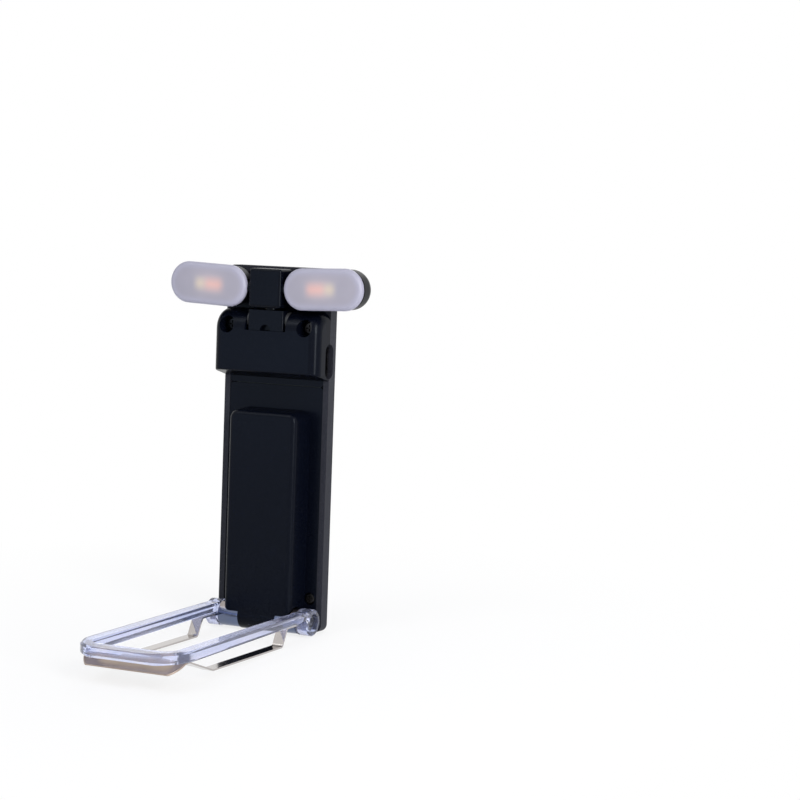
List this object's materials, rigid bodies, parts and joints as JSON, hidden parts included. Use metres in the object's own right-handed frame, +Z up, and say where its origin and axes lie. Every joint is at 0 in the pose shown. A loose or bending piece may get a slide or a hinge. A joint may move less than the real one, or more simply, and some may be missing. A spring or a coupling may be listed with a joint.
{
  "type": "clip-on book light",
  "caption": "Flat clip-on book light with a folding neck, two swivelling pill-shaped lamps, two rear buttons and a clear spring clip it stands on.",
  "frame": {"origin": "on the ground, below the middle of the overall box of the standing light with its clip opened", "axes": "+Z up, +X to the right across the body seen from the lamp side, -Y towards the tip of the opened clip; the body leans back from the vertical"},
  "size_m": [0.061, 0.0893, 0.1016],
  "materials": {
    "button_side_shell": "fine spark-textured charcoal moulding",
    "dark_housing": "satin blue-black moulding",
    "button_plastic": "smooth satin charcoal",
    "neck_plastic": "satin blue-black moulding",
    "clear_plastic": "clear moulding with a faint blue tint",
    "frosted_lens": "frosted diffuser",
    "spring_steel": "bright rolled spring steel",
    "pin_steel": "turned steel",
    "screw_steel": "zinc plated steel",
    "socket_steel": "drawn stainless shell",
    "board_green": "solder mask",
    "board_white": "white solder mask",
    "led_phosphor": "yellow phosphor",
    "switch_body": "black switch bodies",
    "washer_nylon": "grey nylon",
    "cell_wrap": "silver pouch in clear wrap"
  },
  "bodies": {
    "body": {"front_shell": "button_side_shell", "control_housing": "dark_housing", "battery_cover": "dark_housing", "button_switches": "switch_body", "circuit_board": "board_green", "usb_receptacle": "socket_steel", "battery_cell": "cell_wrap", "housing_screws": "screw_steel", "cover_screws": "screw_steel", "neck_pin": "pin_steel", "neck_washers": "washer_nylon", "clip_pin": "pin_steel"},
    "neck": {"neck_flap": "neck_plastic", "lamp_arm": "neck_plastic"},
    "left_lamp": {"left_lamp_shell": "neck_plastic", "left_lamp_lens": "frosted_lens", "left_lamp_axle": "neck_plastic", "left_led_board": "board_white", "left_led_chips": "led_phosphor"},
    "right_lamp": {"right_lamp_shell": "neck_plastic", "right_lamp_lens": "frosted_lens", "right_lamp_axle": "neck_plastic", "right_led_board": "board_white", "right_led_chips": "led_phosphor"},
    "clip": {"clip_frame": "clear_plastic"},
    "jaw": {"clip_leaf": "spring_steel"},
    "power_key": {"power_button": "button_plastic"},
    "colour_key": {"colour_button": "button_plastic"}
  },
  "joints": [
    {"name": "neck_fold", "type": "hinge", "parent": "body", "child": "neck", "pos_m": [0, 0.03481, 0.08611], "axis": [1, 0, 0], "range_deg": [0, 70]},
    {"name": "left_lamp_tilt", "type": "hinge", "parent": "neck", "child": "left_lamp", "pos_m": [-0.0056, 0.0332, 0.09506], "axis": [0.9993, -0.0028, -0.0365], "range_deg": [-45, 90]},
    {"name": "right_lamp_tilt", "type": "hinge", "parent": "neck", "child": "right_lamp", "pos_m": [0.0056, 0.0332, 0.09506], "axis": [0.9993, 0.0028, 0.0365], "range_deg": [-45, 90]},
    {"name": "clip_fold", "type": "hinge", "parent": "body", "child": "clip", "pos_m": [0, 0.02823, 0.00397], "axis": [1, 0, 0], "range_deg": [-86, 0]},
    {"name": "jaw_open", "type": "hinge", "parent": "clip", "child": "jaw", "pos_m": [0, 0.02823, 0.00397], "axis": [1, 0, 0], "range_deg": [0, 9], "stiffness_Nm_per_rad": 0.5, "springref_deg": -5.73},
    {"name": "power_press", "type": "slide", "parent": "body", "child": "power_key", "axis": [0, -0.997, 0.0774], "range_m": [0, 0.0003], "stiffness_N_per_m": 800, "springref_m": -0.0005},
    {"name": "colour_press", "type": "slide", "parent": "body", "child": "colour_key", "axis": [0, -0.997, 0.0774], "range_m": [0, 0.0003], "stiffness_N_per_m": 800, "springref_m": -0.0005}
  ]
}
